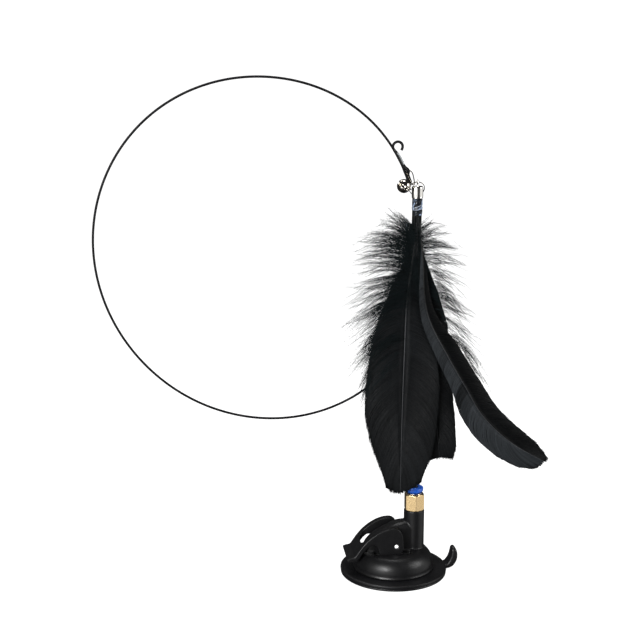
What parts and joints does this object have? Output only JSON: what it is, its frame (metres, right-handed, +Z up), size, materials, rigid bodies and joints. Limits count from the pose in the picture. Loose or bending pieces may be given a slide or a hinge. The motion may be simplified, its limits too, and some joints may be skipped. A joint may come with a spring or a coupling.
{
  "type": "suction cup spring cat toy",
  "caption": "Cat toy: a lever-locked suction cup with a brass push-in fitting that holds a looped spring wire, from whose tip hang a bell and a bunch of feathers.",
  "frame": {"origin": "centre of the suction cup, on the surface that it is pressed on", "axes": "+Z up out of the cup, +X from the cup's centre towards the post and the pull tab, -Y the side that the picture is taken from"},
  "size_m": [0.2674, 0.065, 0.2999],
  "materials": {
    "cup_rubber": "satin",
    "black_plastic": "fine satin",
    "brass": "turned",
    "steel": "bright",
    "nickel": "polished",
    "blue_plastic": "gloss",
    "black_nylon": "semi-gloss",
    "blacked_steel": "semi-gloss",
    "seal_rubber": "matt",
    "clear_film": "gloss",
    "thread": "matt",
    "feather": "silky",
    "down": "fluffy"
  },
  "bodies": {
    "base": {"housing": "black_plastic", "suction_cup": "cup_rubber", "return_spring": "steel", "fitting_body": "brass", "tube_seal": "seal_rubber", "fitting_seat_ring": "nickel"},
    "stud": {"cup_core": "black_plastic", "lever_pin": "steel"},
    "lever": {"lever": "black_plastic"},
    "collar": {"release_collar": "blue_plastic"},
    "collet": {"tube_collet": "steel"},
    "end_tube": {"wire_end_tube": "black_nylon"},
    "wand": {"spring_wire": "blacked_steel", "upper_sleeve": "black_nylon", "tip_sleeve": "black_nylon"},
    "clasp": {"clasp_body": "nickel"},
    "gate": {"clasp_gate": "nickel"},
    "ring": {"split_ring": "nickel"},
    "lure": {"feather_cap": "nickel", "quill_binding": "clear_film", "binding_thread": "thread", "feather_front": "feather", "feather_back": "feather", "feather_side": "feather", "feather_down": "down", "feather_back_down": "down"},
    "bell": {"bell_shell": "nickel", "bell_ball": "steel"}
  },
  "joints": [
    {"name": "lever_turn", "type": "hinge", "parent": "stud", "child": "lever", "pos_m": [0, 0, 0.0203], "axis": [0, 1, 0], "range_deg": [0, 90]},
    {"name": "stud_lift", "type": "slide", "parent": "base", "child": "stud", "axis": [0, 0, 1], "range_m": [-0.002, 0], "deforming": ["suction_cup", "return_spring"]},
    {"name": "collar_press", "type": "slide", "parent": "base", "child": "collar", "axis": [0, 0, 1], "range_m": [-0.0007, 0], "stiffness_N_per_m": 200, "springref_m": 0.001},
    {"name": "tube_swivel", "type": "hinge", "parent": "base", "child": "collet", "pos_m": [0.0125, 0, 0.0455], "axis": [0, 0, 1], "continuous": true},
    {"name": "tube_pull", "type": "slide", "parent": "collet", "child": "end_tube", "axis": [0, 0, 1], "range_m": [0, 0.022]},
    {"name": "wand_sway", "type": "hinge", "parent": "end_tube", "child": "wand", "pos_m": [0.0125, 0, 0.066], "axis": [0, 1, 0], "range_deg": [-15, 15], "stiffness_Nm_per_rad": 0.08, "springref_deg": 2.46, "deforming": ["spring_wire"]},
    {"name": "clasp_swing", "type": "hinge", "parent": "wand", "child": "clasp", "pos_m": [0.00315, -0.01063, 0.24673], "axis": [0.7665, 0.6423, 0], "range_deg": [-20, 2]},
    {"name": "gate_open", "type": "hinge", "parent": "clasp", "child": "gate", "pos_m": [0.00517, -0.01449, 0.24043], "axis": [0.5325, -0.6346, 0.5601], "range_deg": [-20, 0], "stiffness_Nm_per_rad": 0.002, "springref_deg": 11.46},
    {"name": "ring_swing", "type": "hinge", "parent": "clasp", "child": "ring", "pos_m": [0.00625, -0.01403, 0.23993], "axis": [0.8072, -0.2771, 0.5212], "range_deg": [-12, 2]},
    {"name": "lure_swing", "type": "hinge", "parent": "ring", "child": "lure", "pos_m": [0.00885, -0.01442, 0.24068], "axis": [1, 0, 0], "range_deg": [-60, 1]},
    {"name": "bell_swing", "type": "hinge", "parent": "ring", "child": "bell", "pos_m": [0.00445, -0.01236, 0.2368], "axis": [0.6691, -0.7431, 0], "range_deg": [-8, 50]}
  ],
  "couplings": [
    {"joint": "lever_turn", "follows": "stud_lift", "rad_per_m": -785.4}
  ]
}
